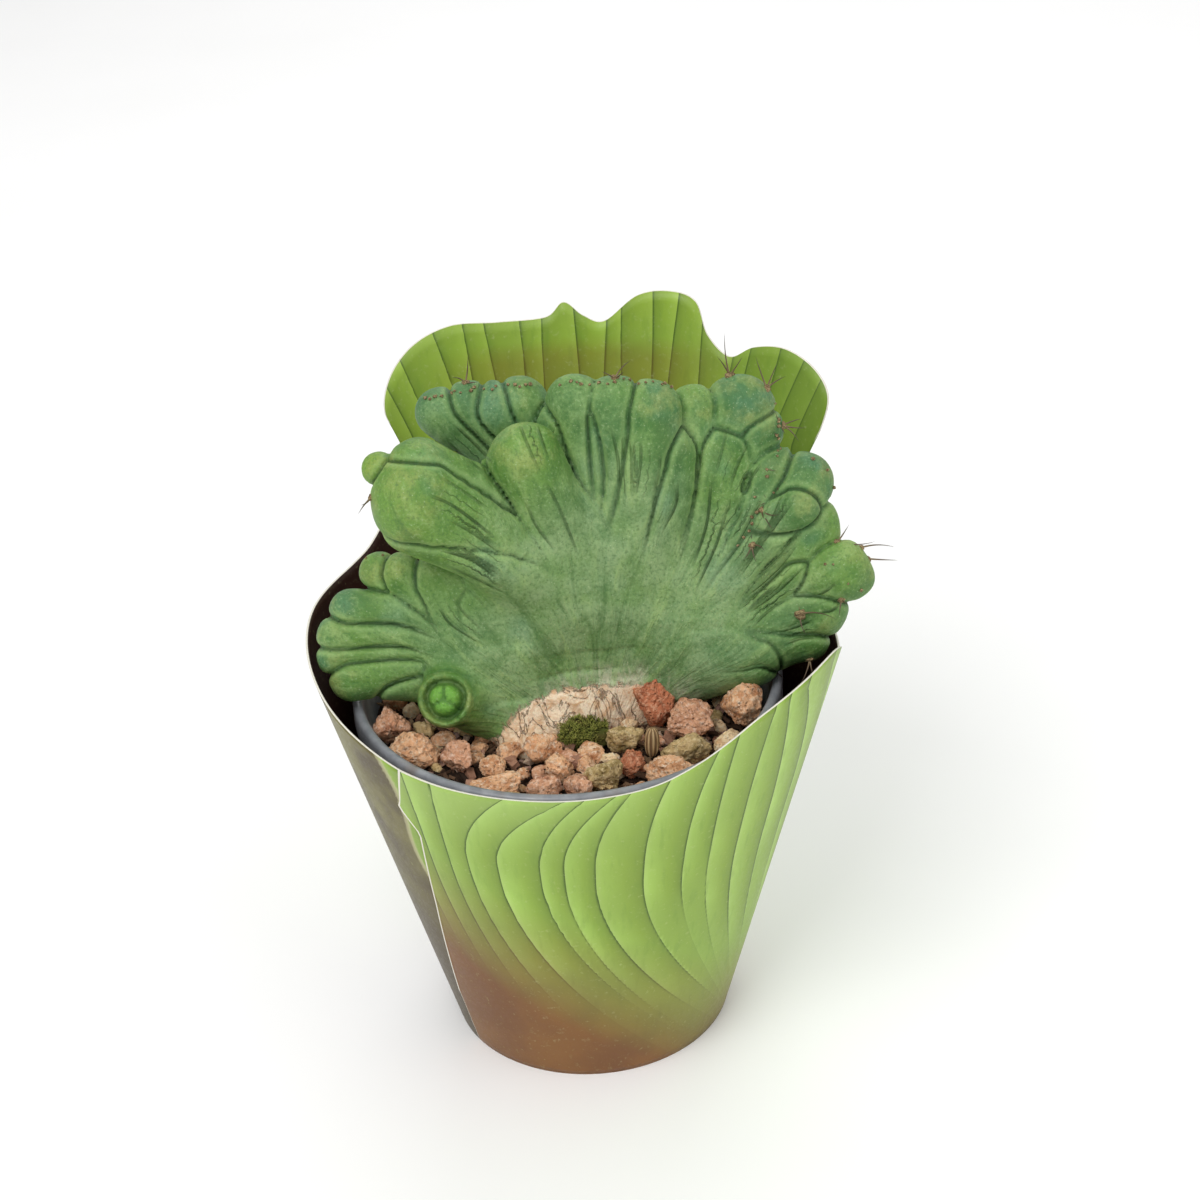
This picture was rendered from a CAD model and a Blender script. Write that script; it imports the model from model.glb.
import math
import random

import bpy
import bmesh
import numpy as np
import openvdb
from mathutils import Vector, Matrix, noise


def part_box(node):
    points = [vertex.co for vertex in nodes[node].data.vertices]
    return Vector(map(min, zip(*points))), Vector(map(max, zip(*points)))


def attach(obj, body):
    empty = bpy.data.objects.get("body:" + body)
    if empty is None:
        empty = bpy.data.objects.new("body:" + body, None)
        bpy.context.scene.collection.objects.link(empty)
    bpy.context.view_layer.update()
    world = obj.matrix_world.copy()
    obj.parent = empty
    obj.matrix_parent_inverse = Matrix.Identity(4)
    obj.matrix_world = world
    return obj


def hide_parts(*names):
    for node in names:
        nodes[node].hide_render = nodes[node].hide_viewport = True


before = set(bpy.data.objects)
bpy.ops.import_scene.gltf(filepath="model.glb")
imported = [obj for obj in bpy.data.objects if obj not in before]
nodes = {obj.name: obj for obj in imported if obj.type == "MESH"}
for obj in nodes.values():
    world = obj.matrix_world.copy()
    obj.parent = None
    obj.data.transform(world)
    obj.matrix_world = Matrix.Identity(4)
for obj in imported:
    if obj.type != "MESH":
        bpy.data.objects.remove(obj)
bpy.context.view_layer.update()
mm = 0.001
print("frame loaded:", len(nodes), "nodes")


# small helpers

def hexColour(code):
    # "a1b2c3" to linear RGBA
    parts = [int(code[i:i + 2], 16) / 255 for i in (0, 2, 4)]
    return tuple((c / 12.92 if c <= 0.04045 else ((c + 0.055) / 1.055) ** 2.4) for c in parts) + (1.0,)


class Wire:
    # one output socket of a material, usable in sums
    def __init__(self, paint, socket):
        self.paint, self.socket = paint, socket

    def maths(self, operation, first, second=None):
        inputs = {0: first} if second is None else {0: first, 1: second}
        return self.paint.add("ShaderNodeMath", {"operation": operation}, inputs)[0]

    def __add__(self, other):
        return self.maths("ADD", self, other)

    def __radd__(self, other):
        return self.maths("ADD", other, self)

    def __sub__(self, other):
        return self.maths("SUBTRACT", self, other)

    def __rsub__(self, other):
        return self.maths("SUBTRACT", other, self)

    def __mul__(self, other):
        return self.maths("MULTIPLY", self, other)

    def __rmul__(self, other):
        return self.maths("MULTIPLY", other, self)

    def __pow__(self, other):
        return self.maths("POWER", self, other)

    def fract(self):
        return self.maths("FRACT", self)

    def size(self):
        return self.maths("ABSOLUTE", self)

    def least(self, other):
        return self.maths("MINIMUM", self, other)

    def most(self, other):
        return self.maths("MAXIMUM", self, other)

    def fit(self, low, high, toLow=0.0, toHigh=1.0):
        # smooth step from low..high to toLow..toHigh
        return self.paint.add(
            "ShaderNodeMapRange", {"interpolation_type": "SMOOTHSTEP"},
            {0: self, 1: low, 2: high, 3: toLow, 4: toHigh})[0]


class Made:
    # a node that was added; made["Fac"] or made[0] is one of its outputs
    def __init__(self, paint, node):
        self.paint, self.node = paint, node

    def __getitem__(self, key):
        return Wire(self.paint, self.node.outputs[key])


class Paint:
    # a procedural material
    def __init__(self, name):
        self.material = bpy.data.materials.new(name)
        self.material.use_nodes = True
        self.tree = self.material.node_tree
        self.tree.nodes.clear()

    def add(self, kind, settings=None, inputs=None):
        node = self.tree.nodes.new(kind)
        for key, value in (settings or {}).items():
            if key == "stops":
                ramp = node.color_ramp.elements
                while len(ramp) < len(value):
                    ramp.new(0.5)
                for stop, (place, colour) in zip(ramp, value):
                    stop.position, stop.color = place, hexColour(colour)
            else:
                setattr(node, key, value)
        for key, value in (inputs or {}).items():
            if isinstance(value, Wire):
                self.tree.links.new(value.socket, node.inputs[key])
            else:
                node.inputs[key].default_value = hexColour(value) if isinstance(value, str) else value
        return Made(self, node)

    def attribute(self, name):
        return self.add("ShaderNodeAttribute", {"attribute_name": name})["Fac"]

    def place(self, scale=(1000, 1000, 1000)):
        # places on the piece, in mm unless stretched
        spot = self.add("ShaderNodeTexCoord")["Object"]
        return self.add("ShaderNodeVectorMath", {"operation": "MULTIPLY"}, {0: spot, 1: scale})[0]

    def noise(self, where, scale, detail=4.0, roughness=0.55, distortion=0.0):
        return self.add("ShaderNodeTexNoise", {}, {
            "Vector": where, "Scale": scale, "Detail": detail,
            "Roughness": roughness, "Distortion": distortion})["Fac"]

    def cells(self, where, scale):
        return self.add("ShaderNodeTexVoronoi", {}, {"Vector": where, "Scale": scale})["Distance"]

    def mix(self, factor, first, second):
        return self.add("ShaderNodeMix", {"data_type": "RGBA", "clamp_factor": True},
                        {0: factor, 6: first, 7: second})[2]

    def ramp(self, factor, stops):
        return self.add("ShaderNodeValToRGB", {"stops": stops}, {"Fac": factor})["Color"]

    def finish(self, colour, roughness, height=None, relief=0.0, **constants):
        inputs = {"Base Color": colour, "Roughness": roughness}
        sockets = {"specular": "Specular IOR Level", "subsurface": "Subsurface Weight",
                   "subsurfaceScale": "Subsurface Scale"}
        inputs.update({sockets[key]: value for key, value in constants.items()})
        if height is not None:
            inputs["Normal"] = self.add("ShaderNodeBump", {}, {
                "Strength": 1.0, "Distance": relief, "Height": height})["Normal"]
        shader = self.add("ShaderNodeBsdfPrincipled", {}, inputs)["BSDF"]
        self.add("ShaderNodeOutputMaterial", {}, {"Surface": shader})
        return self.material


def makeMesh(name, points, faces, materials, smooth=True, faceSlots=None):
    mesh = bpy.data.meshes.new(name)
    mesh.from_pydata([tuple(p) for p in points], [], [tuple(f) for f in faces])
    for material in materials:
        mesh.materials.append(material)
    if faceSlots is not None:
        mesh.polygons.foreach_set("material_index", list(faceSlots))
    mesh.polygons.foreach_set("use_smooth", [smooth] * len(mesh.polygons))
    mesh.update()
    piece = bpy.data.objects.new(name, mesh)
    bpy.context.collection.objects.link(piece)
    return piece


def settle(piece, slot, *replaced):
    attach(piece, "root")
    if replaced:
        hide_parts(*replaced)
    return piece


def boxOf(node):
    # the two corners of a CAD node's box, in mm
    return (np.array(corner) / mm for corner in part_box(node))


def unit(v):
    return v / np.linalg.norm(v)


def tubeSides(rings, count, first=0):
    # the faces between rings of points that are numbered one after another
    faces = []
    for a in range(first, first + (rings - 1) * count, count):
        for i in range(count):
            j = (i + 1) % count
            faces.append((a + i, a + j, a + count + j, a + count + i))
    return faces


def tubeCaps(rings, count):
    return [tuple(reversed(range(count))), tuple((rings - 1) * count + i for i in range(count))]


def storeValues(piece, name, values):
    layer = piece.data.attributes.new(name, "FLOAT", "POINT")
    layer.data.foreach_set("value", np.asarray(values, dtype=np.float32))


def smoothCurve(points, count):
    # Catmull-Rom through the points, evenly spaced in parameter
    points = np.asarray(points, dtype=float)
    padded = np.vstack([2 * points[0] - points[1], points, 2 * points[-1] - points[-2]])
    out = []
    for t in np.linspace(0, len(points) - 1 - 1e-9, count):
        i = int(t)
        s = t - i
        a, b, c, d = padded[i:i + 4]
        out.append(0.5 * ((2 * b) + (c - a) * s + (2 * a - 5 * b + 4 * c - d) * s * s
                          + (3 * b - a - 3 * c + d) * s ** 3))
    return np.array(out)


# camera
camera = {
    "target": (6.6, 0.0, 116.8),  # mm
    "elevation": 30.7,
    "roll": 3.25,
    "distance": 650.0,
    "lens": 81.3,
}


def placeCamera(s):
    e, r = math.radians(s["elevation"]), math.radians(s["roll"])
    back = Vector((0, -math.cos(e), math.sin(e)))
    right, up = Vector((1, 0, 0)), Vector((0, math.sin(e), math.cos(e)))
    across = right * math.cos(r) - up * math.sin(r)
    upward = right * math.sin(r) + up * math.cos(r)
    eye = (Vector(s["target"]) + back * s["distance"]) * mm
    data = bpy.data.cameras.new("camera")
    data.lens, data.sensor_width = s["lens"], 36.0
    data.clip_start, data.clip_end = 0.01, 20.0
    view = bpy.data.objects.new("camera", data)
    view.matrix_world = Matrix((
        (across.x, upward.x, back.x, eye.x),
        (across.y, upward.y, back.y, eye.y),
        (across.z, upward.z, back.z, eye.z),
        (0, 0, 0, 1)))
    bpy.context.collection.objects.link(view)
    bpy.context.scene.camera = view


placeCamera(camera)


# floor and light
studio = {"floor": 1.6, "floorColour": "f6f6f5", "world": 0.62,
          "key": 6.0, "keyAt": (-0.35, -0.55, 1.0), "keySize": 0.6,
          "fill": 2.2, "fillAt": (0.8, -0.5, 0.7), "fillSize": 0.9,
          "rim": 3.0, "rimAt": (0.1, 0.8, 0.8), "rimSize": 0.8}


def makeStudio(s):
    p = Paint("floorPaint")
    mottling = p.noise(p.place((1, 1, 1)), 6.0, 3.0)
    half = s["floor"]
    floor = makeMesh("studio_floor", [(-half, -half, 0), (half, -half, 0), (half, half, 0), (-half, half, 0)],
                     [(0, 1, 2, 3)],
                     [p.finish(p.mix(mottling, s["floorColour"], "ffffff"), 0.7)])
    world = bpy.data.worlds.new("studio")
    world.use_nodes = True
    world.node_tree.nodes["Background"].inputs[0].default_value = (1, 1, 1, 1)
    world.node_tree.nodes["Background"].inputs[1].default_value = s["world"]
    bpy.context.scene.world = world
    bpy.context.scene.view_settings.view_transform = "Standard"
    for name in ("key", "fill", "rim"):
        data = bpy.data.lights.new(name, "AREA")
        data.energy, data.size = s[name], s[name + "Size"]
        lamp = bpy.data.objects.new(name, data)
        lamp.location = s[name + "At"]
        lamp.rotation_euler = (Vector((0, 0, 0.1)) - lamp.location).to_track_quat("-Z", "Y").to_euler()
        bpy.context.collection.objects.link(lamp)


makeStudio(studio)
print("studio done")


# cactus
# Each fold of the crest is a bent club: its line in mm, the radius at foot and tip, how flat it
# is front to back, and its tint: above 0 yellower, below 0 bluer.
crest = {
    "voxel": 0.68,
    "low": (-66, -26, 73), "high": (76, 26, 176),
    "heart": (4, 100),  # x, z the folds fan out from
    "blendRoot": 4.5, "blendTip": 1.9, "blendFrom": 18, "blendTo": 50,
    "meetDepth": 1.5, "meetWidth": 0.8,  # the crease where two folds meet
    "pleatSlope": 30.0,  # the pleats are pressed in square to this slope
    "shrink": 0.6,
    "clubPoints": 9, "clubReach": 6,
}

# the sheet that carries the folds
sheet = [
    ([[-4, 5, 97], [-16, 3, 102], [-34, 0, 108]], (6, 7), 0.9, 0),
    ([[-2, 5, 98], [-10, 3, 110], [-22, 2, 124]], (7, 8), 0.9, 0),
    ([[2, 5, 96], [2, 6, 116], [0, 9, 140]], (9, 9), 0.8, 0),
    ([[6, 5, 96], [13, 6, 116], [22, 8, 142]], (9, 9), 0.8, 0),
    ([[10, 5, 97], [24, 5, 109], [42, 6, 128]], (8, 8), 0.8, 0),
    ([[12, 4, 97], [28, 2, 101], [46, -1, 108]], (7, 8), 0.8, 0),
    ([[3, 4, 80], [3, 4, 88], [4, 4, 98]], (12, 12), 0.7, 0),
    # what fills the flat-topped rows between their folds, and the corners of the round offset
    ([[-28, 15, 161], [-20, 15, 162.5], [-10, 15, 163]], (4, 4.2), 1, -0.4),
    ([[2, 9, 165.5], [12, 7, 165.5], [21, 7, 163.5]], (4, 4.6), 1, -0.1),
    ([[58, 0, 118], [62, -1, 123], [65, -1, 126]], (5, 3.4), 0.8, 0.3),
    ([[60, 0, 118], [65, -1, 120], [69, -1, 119]], (5, 3.2), 0.8, 0.3),
]
folds = [
    # low left, one above the other
    ([[-18, 0, 102], [-38, -3, 103], [-54, -8, 103]], (4, 5.5), 1, 0.1),
    ([[-18, 0, 104], [-40, -2, 107], [-57.5, -5, 108]], (4, 4.6), 1, 0.1),
    ([[-18, 0, 106], [-40, -1, 112], [-57, -3, 113]], (4, 4.8), 1, 0.1),
    ([[-16, 1, 106], [-38, 0, 117], [-53.5, 0, 118.5]], (4, 5), 1, 0.1),
    ([[-14, 2, 106], [-36, 3, 119], [-46, 4, 126]], (4, 5), 1, 0.3),
    ([[-14, 2, 104], [-32, 1, 117], [-40, 1, 127]], (5, 5), 1, 0.3),
    ([[-12, 3, 102], [-26, 0, 116], [-32, 0, 126]], (5, 6), 1, 0.1),
    ([[-10, 2, 99], [-20, -1, 109], [-25, -1, 120]], (5, 5), 1, -0.1),
    # big lobe over them, with its bud
    ([[-4, 1, 120], [-20, -7, 141], [-34, -10, 152]], (5, 11), 0.9, 0.35),
    ([[-4, 2, 122], [-20, -3, 148], [-33, -6, 159]], (5, 7), 1, 0.3),
    ([[-4, 1, 118], [-18, -8, 134], [-35, -9, 146]], (5, 8), 1, 0.35),
    ([[-38, -4, 153], [-41, -5, 156], [-43, -5, 158.5]], (3, 4), 1, 1.0),
    # the flat-topped row behind
    ([[-4, 9, 132], [-18, 14, 150], [-29, 15, 162]], (5, 5.8), 1, -0.4),
    ([[-3, 9, 132], [-14, 14, 152], [-22, 15, 164]], (5, 5), 1, -0.4),
    ([[-2, 9, 134], [-10, 14, 152], [-15.5, 14, 163]], (5, 5.4), 1, -0.4),
    ([[-1, 9, 136], [-6, 14, 154], [-9, 15, 164]], (5, 5.6), 1, 0.1),
    # thumb, and the small round fold beside it
    ([[5, 3, 118], [-3, -1, 142], [-9, -1, 157]], (6, 8.6), 1, 0.25),
    ([[-4, 2, 134], [-12, 1, 146], [-16, 1, 152]], (4, 4), 1, 0.5),
    # upper middle
    ([[6, 6, 126], [2, 7, 148], [-1, 9, 160]], (5, 4.4), 1, 0.2),
    ([[8, 6, 126], [5, 7, 150], [3, 9, 167]], (5, 5.4), 1, 0.1),
    ([[10, 6, 124], [9, 6, 150], [8, 8, 163]], (5, 4.6), 1, -0.1),
    ([[12, 6, 122], [14, 5, 150], [13, 7, 166]], (6, 6), 1, -0.1),
    ([[13, 6, 122], [18, 3, 148], [21, 6, 164]], (6, 7), 1, 0),
    ([[14, 6, 122], [22, 4, 142], [24, 6, 153]], (6, 7), 1, -0.2),
    ([[16, 5, 106], [26, 8, 138], [31, 11, 162]], (7, 5.4), 0.9, 0.5),
    ([[18, 4, 104], [33, 6, 130], [37, 9, 150]], (7, 7), 0.8, 0.2),
    # tall pad
    ([[32, 9, 130], [38, 12, 150], [42, 13, 160]], (6, 8.6), 0.7, -0.2),
    ([[34, 9, 134], [42, 11, 146], [45, 12, 154]], (6, 7.4), 0.7, -0.2),
    ([[32, 8, 128], [38, 9, 136], [41, 9, 142]], (6, 6), 0.8, 0.1),
    # right
    ([[26, 5, 108], [42, 6, 130], [50, 8, 145]], (6, 5.6), 1, -0.4),
    ([[28, 4, 106], [46, 4, 128], [57, 6, 143]], (6, 7), 1, -0.3),
    ([[46, 3, 132], [51, 1, 137], [54.5, 0, 139.5]], (4, 4.8), 1, -0.3),
    ([[28, 4, 104], [46, 3, 120], [58, 4, 132]], (6, 7), 0.9, 0.3),
    ([[28, 3, 102], [42, 2, 112], [53, 2, 122]], (6, 6.4), 0.9, 0.2),
    # round offset at the edge, and the folds under it
    ([[50, 1, 114], [59, -1, 118], [64, -2, 121.5]], (4, 7.6), 0.75, 0.3),
    ([[36, 0, 104], [50, -2, 109], [59.5, -3, 112]], (6, 6.4), 1, -0.1),
    ([[34, 0, 102], [46, -4, 105], [56, -5, 105]], (6, 5.4), 1, 0.1),
    ([[30, -1, 99], [38, -6, 103], [45.5, -7, 104]], (5, 4.2), 1, -0.2),
    ([[28, -1, 96], [36, -6, 100], [43, -8, 100.5]], (5, 4), 1, -0.2),
    # low left bulges and the cupped offset at the front
    ([[-20, -2, 99], [-34, -5, 99], [-46, -7, 101]], (5, 3.8), 1, 0),
    ([[-4, -1, 86], [-14, -5, 89], [-25, -8, 93]], (5, 5), 1, -0.2),
    ([[-22, -6, 94], [-27, -11, 98], [-31, -18, 102.5]], (5, 7.4), 1, 0.3),
]
# the corky foot
corkFolds = [
    ([[8, 2, 86], [2, -4, 89], [-3, -7, 89]], (7, 5.4), 1, 0),
    ([[-1, -3, 87], [-9, -9, 87], [-15, -15, 85]], (4.6, 4.2), 1, 0),
    ([[8, 2, 86], [11, -3, 88], [14, -4, 88]], (5, 3.6), 1, 0),
]
cup = {"centre": (-31, -18, 102.5), "axis": (-0.1, -0.82, 0.55), "bud": 4.3, "face": 3.4,
       "dome": 1.8, "ring": 0.8, "depth": 2.8}

# Pleats run along the front of the broader folds, side by side at these shares of the radius.
pleat = {"rows": (-0.42, 0.34), "broad": 5.6, "start": (0.3, 0.5), "end": (0.8, 0.96),
         "depth": 1.0, "width": 0.6, "points": 25, "bend": 0.12, "seed": 4}


def pleatLines(s):
    # each pleat as a curve through three places (x, height on the slope), its depth and its width
    draw = random.Random(s["seed"])
    e = math.radians(crest["pleatSlope"])
    lines = []
    for path, (_, radius), _, _ in folds:
        if radius < s["broad"]:
            continue
        line = smoothCurve(path, s["points"])
        front = np.stack([line[:, 0], line[:, 2] * math.cos(e) + (line[:, 1] - radius) * math.sin(e)], 1)
        run = front[-1] - front[0]
        sideways = np.array([-run[1], run[0]]) / np.linalg.norm(run) * radius
        last = s["points"] - 1
        for row in s["rows"]:
            shares = np.linspace(draw.uniform(*s["start"]), draw.uniform(*s["end"]), 3)
            bend = draw.uniform(-s["bend"], s["bend"])
            places = [front[int(share * last)] + sideways * (row * (0.4 + 0.6 * share) + bend * (i == 1))
                      for i, share in enumerate(shares)]
            lines.append((places, s["depth"] * draw.uniform(0.6, 1.1), s["width"]))
    return lines


def clubGap(line, radii, flat, px, py, pz):
    # distance to a bent club, how far along it the nearest spot is, and that spot's depth
    best = None
    last = len(line) - 1
    for i in range(last):
        a, d = line[i], line[i + 1] - line[i]
        t = np.clip(((px - a[0]) * d[0] + (py - a[1]) * d[1] + (pz - a[2]) * d[2]) / (d @ d), 0, 1)
        gap = np.sqrt((px - a[0] - t * d[0]) ** 2 + ((py - a[1] - t * d[1]) / flat) ** 2
                      + (pz - a[2] - t * d[2]) ** 2) - (radii[i] + (radii[i + 1] - radii[i]) * t)
        share, deep = (i + t) / last, a[1] + t * d[1]
        if best is None:
            best, along, depth = gap, share, deep
        else:
            nearer = gap < best
            best = np.where(nearer, gap, best)
            along = np.where(nearer, share, along)
            depth = np.where(nearer, deep, depth)
    return best, along, depth


def pleatCuts(wide, level, behind, field, slack):
    # at each place of the grid: how deep the pleats are, how far the nearest pleat is, below 0 on
    # one side of it, and how strongly it is drawn
    cuts, drawn = (np.zeros(field.shape, np.float32) for _ in range(2))
    beside = np.full(field.shape, 4, np.float32)
    for points, depth, width in pleatLines(pleat):
        line = smoothCurve(points, 9)
        reach = 4 * width
        near = ((wide > line[:, 0].min() - reach) & (wide < line[:, 0].max() + reach)
                & (level > line[:, 1].min() - reach) & (level < line[:, 1].max() + reach)
                & (field < slack) & (field > -6))
        u, w = wide[near], level[near]
        best, along = np.full(u.shape, 1e9, np.float32), np.zeros(u.shape, np.float32)
        hand = along.copy()
        for i in range(len(line) - 1):
            a, d = line[i], line[i + 1] - line[i]
            t = np.clip(((u - a[0]) * d[0] + (w - a[1]) * d[1]) / (d @ d), 0, 1)
            gap = np.hypot(u - a[0] - t * d[0], w - a[1] - t * d[1])
            nearer = gap < best
            best = np.where(nearer, gap, best)
            along = np.where(nearer, (i + t) / (len(line) - 1), along)
            hand = np.where(nearer, np.sign((u - a[0]) * d[1] - (w - a[1]) * d[0]), hand)
        ends = np.clip(np.minimum(along, 1 - along) * 4, 0, 1) * np.clip((1 - behind[near]) / 2, 0, 1)
        cuts[near] = np.maximum(cuts[near], depth * ends * np.exp(-best / width))
        closest = best < np.abs(beside[near])
        drawn[near] = np.where(closest, ends * np.clip(2.2 - best, 0, 1) * min(depth, 1), drawn[near])
        beside[near] = np.where(closest, best * hand, beside[near])
    return cuts, beside, drawn


def cupCut(s, field, gx, gy, gz):
    # the front offset ends in a rim round a domed young bud, which three clefts part
    axis = unit(np.array(s["axis"]))
    side = unit(np.cross(axis, (0, 0, 1)))
    upward = np.cross(side, axis)
    dx, dy, dz = gx - s["centre"][0], gy - s["centre"][1], gz - s["centre"][2]
    ahead = dx * axis[0] + dy * axis[1] + dz * axis[2]
    u = dx * side[0] + dy * side[1] + dz * side[2]
    v = dx * upward[0] + dy * upward[1] + dz * upward[2]
    radius = np.hypot(u, v)
    turn = np.arctan2(v, u)
    cleft = np.abs(np.sin(1.5 * turn + 0.8)) * radius
    dome = np.sqrt(np.clip(1 - (radius / s["bud"]) ** 2, 0, 1))
    ring = np.exp(-((radius - s["bud"] * (1 + 0.05 * np.sin(3 * turn))) / s["ring"]) ** 2)
    parted = np.exp(-(cleft / 0.6) ** 2) * (radius < s["bud"])
    face = s["face"] + s["dome"] * dome - s["depth"] * ring - 0.9 * parted
    near = (radius < 9) & (ahead > 1)
    inside = np.clip((s["bud"] - radius) / 0.6, 0, 1) * near
    return np.where(near, np.maximum(field, ahead - face), field), 2 * np.maximum(ring, parted) * near, inside


def crestField(s):
    low, high, step = np.array(s["low"], float), np.array(s["high"], float), s["voxel"]
    axes = [np.arange(a, b, step, dtype=np.float32) for a, b in zip(low, high)]
    gx, gy, gz = np.meshgrid(*axes, indexing="ij", sparse=True)
    hx, hz = s["heart"]
    out = np.clip((np.hypot(gx - hx, gz - hz) - s["blendFrom"]) / (s["blendTo"] - s["blendFrom"]), 0, 1)
    out = out + 0 * gy
    soft = s["blendRoot"] + (s["blendTip"] - s["blendRoot"]) * out
    total, cork = (np.full(soft.shape, 1e-9, np.float32) for _ in range(2))
    tip, tint, middle = (np.zeros(soft.shape, np.float32) for _ in range(3))
    nearest, second, turned = (np.full(soft.shape, 40, np.float32) for _ in range(3))
    for number, (path, (footRadius, tipRadius), flat, shade) in enumerate(sheet + folds + corkFolds):
        line = smoothCurve(path, s["clubPoints"])
        radii = np.linspace(footRadius, tipRadius, s["clubPoints"]) - s["shrink"]
        reach = max(footRadius, tipRadius) + s["clubReach"]
        box = tuple(slice(max(0, int((line[:, a].min() - reach - low[a]) / step)),
                          max(0, int((line[:, a].max() + reach - low[a]) / step) + 1)) for a in range(3))
        gap, along, depth = clubGap(line, radii, flat, gx[box[0]], gy[:, box[1]], gz[:, :, box[2]])
        weight = np.exp(np.clip(-gap / soft[box], -30, 30))
        total[box] += weight
        tip[box] += weight * along
        tint[box] += weight * shade
        middle[box] += weight * depth
        if number >= len(sheet) + len(folds):
            cork[box] += weight
        elif number >= len(sheet):
            second[box] = np.minimum(second[box], np.maximum(nearest[box], gap))
            turned[box] = np.where(gap < nearest[box], number % 2 * 2 - 1, turned[box])
            nearest[box] = np.minimum(nearest[box], gap)
    field = -soft * np.log(total)
    tip, tint, middle, cork = tip / total, tint / total, middle / total, cork / total
    # how far the place is from where two folds meet, below 0 on every other fold
    parting = np.sign(turned) * (second - nearest)
    steep = np.sqrt(sum(g * g for g in np.gradient(parting, step)))
    parting = np.clip(parting / np.clip(steep, 0.5, 2), -3, 3)
    drawn = np.clip(out * 1.7 - 0.2, 0, 1) * np.clip(1.2 - second / 5, 0, 1)
    meet = drawn * np.exp(-np.abs(parting) / s["meetWidth"])
    e = math.radians(s["pleatSlope"])
    level = gz * math.cos(e) + gy * math.sin(e) + 0 * gx
    wide = gx + 0 * level
    cuts, beside, pressed = pleatCuts(wide, level, gy + 0 * wide - middle, field, 4)
    groove = np.maximum(cuts, s["meetDepth"] * meet)
    field, hollow, bud = cupCut(cup, field + groove, gx, gy, gz)
    return field, {"tip": tip, "tint": tint, "groove": np.maximum(groove, hollow), "cork": cork,
                   "bud": bud, "parting": parting, "drawn": drawn, "beside": beside, "pressed": pressed}


def sampleAt(grid, places):
    # trilinear value of a grid at places counted in voxels
    top = np.array(grid.shape) - 2
    base = np.clip(np.floor(places).astype(int), 0, top)
    f = places - base
    value = 0
    for dx in (0, 1):
        for dy in (0, 1):
            for dz in (0, 1):
                share = (np.abs(1 - dx - f[:, 0]) * np.abs(1 - dy - f[:, 1]) * np.abs(1 - dz - f[:, 2]))
                value = value + share * grid[base[:, 0] + dx, base[:, 1] + dy, base[:, 2] + dz]
    return value


def makeCactus(s, material):
    field, extras = crestField(s)
    grid = openvdb.FloatGrid()
    grid.copyFromArray(field.astype(np.float32))
    places, quads = grid.convertToQuads(isovalue=0.0)[:2]
    points = places * s["voxel"] + np.array(s["low"], float)
    piece = makeMesh("crest_body", points * mm, quads[:, ::-1], [material])
    for name, values in extras.items():
        storeValues(piece, name, sampleAt(values, places))
    print("cactus:", len(points), "points")
    return piece


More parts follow.
